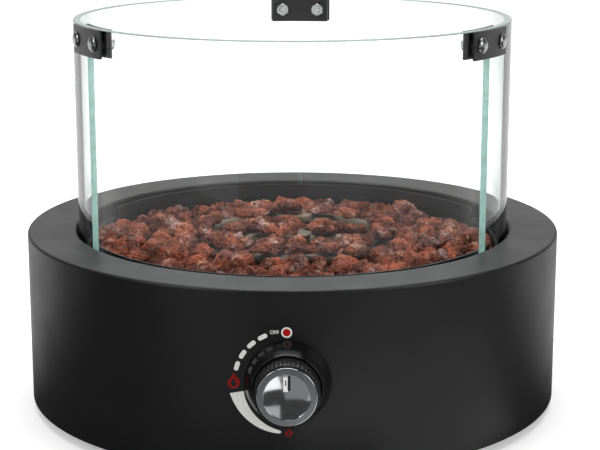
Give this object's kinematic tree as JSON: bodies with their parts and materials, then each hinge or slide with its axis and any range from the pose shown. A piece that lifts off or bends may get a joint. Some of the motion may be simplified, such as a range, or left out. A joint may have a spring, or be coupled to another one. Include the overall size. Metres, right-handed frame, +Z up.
{
  "type": "tabletop gas fire pit",
  "caption": "Round black steel tabletop gas fire pit with a lift-off curved glass wind guard, lava rocks over a ring burner and one push-and-turn control knob.",
  "frame": {"origin": "centre of the footprint, on the surface that the rubber feet stand on", "axes": "+Z up, -Y to the front with the control knob, +X to the right seen from the front"},
  "size_m": [0.4884, 0.5562, 0.3508],
  "materials": {
    "powder_coat": "satin",
    "powder_coat_matte": "matte",
    "bowl_coating": "satin",
    "clamp_coating": "satin",
    "black_fastener": "satin",
    "zinc_steel": "satin",
    "bolt_steel": "polished",
    "burner_stainless": "satin",
    "knob_chrome": "polished",
    "gas_brass": "satin",
    "valve_casting": "matte",
    "pipe_aluminium": "satin",
    "lead_copper": "satin",
    "foot_rubber": "matte",
    "pad_rubber": "matte",
    "lead_rubber": "matte",
    "bezel_gloss": "gloss",
    "grip_plastic": "satin",
    "igniter_plastic": "satin",
    "electrode_ceramic": "gloss",
    "guard_glass": "polished",
    "lava_rock": "matte"
  },
  "bodies": {
    "housing": {"body_shell": "powder_coat", "base_plate": "powder_coat_matte", "side_screws": "black_fastener", "side_nuts": "zinc_steel", "feet": "foot_rubber", "foot_screws": "zinc_steel", "foot_nuts": "zinc_steel", "bowl_hangers": "zinc_steel", "fire_bowl": "bowl_coating", "glass_retainer": "bowl_coating", "bowl_screws": "zinc_steel", "bowl_nuts": "zinc_steel", "burner_ring": "burner_stainless", "burner_legs": "burner_stainless", "leg_screws": "zinc_steel", "mixing_tube": "burner_stainless", "tube_nut": "zinc_steel", "injector_holder": "gas_brass", "gas_jet": "gas_brass", "burner_pipe": "pipe_aluminium", "inlet_pipe": "pipe_aluminium", "pipe_nuts": "gas_brass", "gas_valve": "valve_casting", "valve_bracket": "zinc_steel", "bracket_screws": "zinc_steel", "bracket_nuts": "zinc_steel", "valve_screws": "zinc_steel", "knob_bezel": "bezel_gloss", "piezo_igniter": "igniter_plastic", "ignition_wire": "lead_rubber", "electrode": "electrode_ceramic", "thermocouple": "lead_copper", "pilot_bracket": "burner_stainless", "heat_shield": "zinc_steel", "shield_spacers": "zinc_steel", "shield_screws": "zinc_steel", "gas_inlet": "gas_brass", "inlet_washer": "pad_rubber", "inlet_nut": "zinc_steel", "lava_rocks": "lava_rock"},
    "plug": {"valve_plug": "gas_brass"},
    "knob": {"valve_stem": "zinc_steel", "knob_grip": "grip_plastic", "knob_face": "knob_chrome"},
    "guard": {"glass_front": "guard_glass", "glass_right": "guard_glass", "glass_left": "guard_glass", "clamp_outer_plates": "clamp_coating", "clamp_inner_plates": "clamp_coating", "clamp_pads": "pad_rubber", "clamp_bolts": "bolt_steel", "clamp_nuts": "bolt_steel"}
  },
  "joints": [
    {"name": "knob_turn", "type": "hinge", "parent": "housing", "child": "plug", "pos_m": [0, -0.2415, 0.0856], "axis": [0, -1, 0], "range_deg": [0, 180]},
    {"name": "knob_push", "type": "slide", "parent": "plug", "child": "knob", "axis": [0, 1, 0], "range_m": [0, 0.004], "stiffness_N_per_m": 900, "springref_m": -0.004},
    {"name": "guard_lift", "type": "slide", "parent": "housing", "child": "guard", "axis": [0, 0, 1], "range_m": [0, 0.24]}
  ]
}
